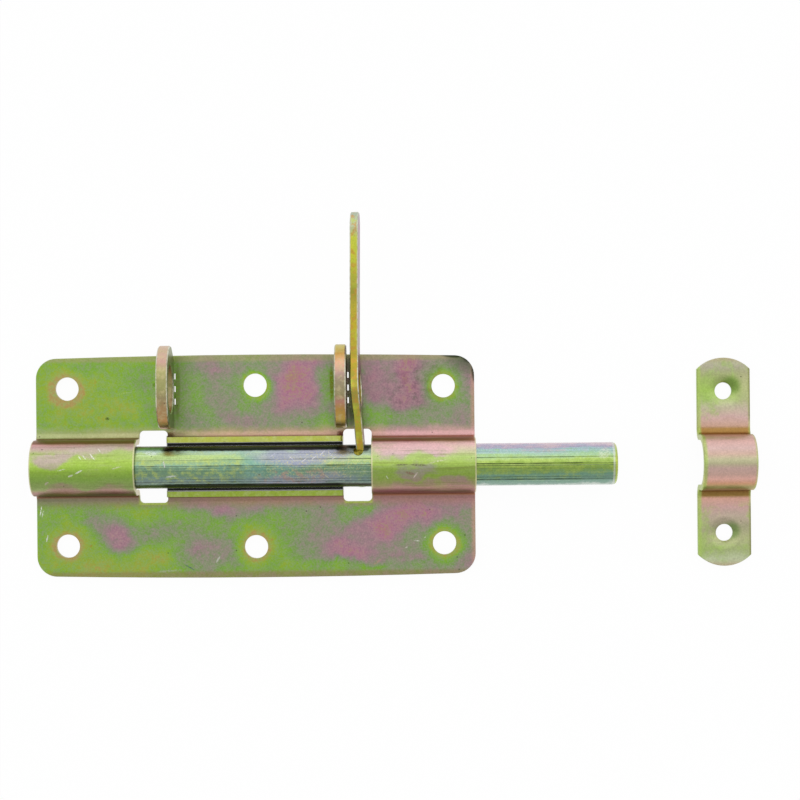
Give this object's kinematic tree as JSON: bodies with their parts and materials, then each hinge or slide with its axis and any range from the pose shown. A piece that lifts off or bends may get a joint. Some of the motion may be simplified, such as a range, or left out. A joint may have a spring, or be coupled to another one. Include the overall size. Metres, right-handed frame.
{
  "type": "padbolt",
  "caption": "Padlockable sliding bolt: pressed plate with round guides, round bar, flat handle, padlock lugs and a separate strap keeper.",
  "frame": {"origin": "centre of the back plate's back face, which lies on the door", "axes": "+X along the bar towards its tip and the keeper, +Y towards the padlock lugs and the handle, +Z out of the plate"},
  "size_m": [0.1955, 0.0985, 0.0188],
  "materials": {
    "plate_zinc": "yellow passivated zinc plate, iridescent lime green and mauve, satin",
    "left_lug_zinc": "yellow passivated zinc plate, tan and olive, satin",
    "right_lug_zinc": "yellow passivated zinc plate, pink and yellow, satin",
    "bar_zinc": "yellow passivated zinc plate on drawn bar, teal and green, bright",
    "handle_zinc": "yellow passivated zinc plate, olive yellow, satin",
    "keeper_zinc": "yellow passivated zinc plate, pale pink and lime, satin"
  },
  "bodies": {
    "plate": {"back_plate": "plate_zinc", "left_lug": "left_lug_zinc", "right_lug": "right_lug_zinc", "keeper": "keeper_zinc"},
    "bolt": {"bolt_bar": "bar_zinc"},
    "handle": {"flat_handle": "handle_zinc"}
  },
  "joints": [
    {"name": "bolt_slide", "type": "slide", "parent": "plate", "child": "bolt", "axis": [1, 0, 0], "range_m": [-0.0568, 0]},
    {"name": "handle_turn", "type": "hinge", "parent": "bolt", "child": "handle", "pos_m": [0, 0, 0.006], "axis": [1, 0, 0], "range_deg": [0, 160]}
  ]
}
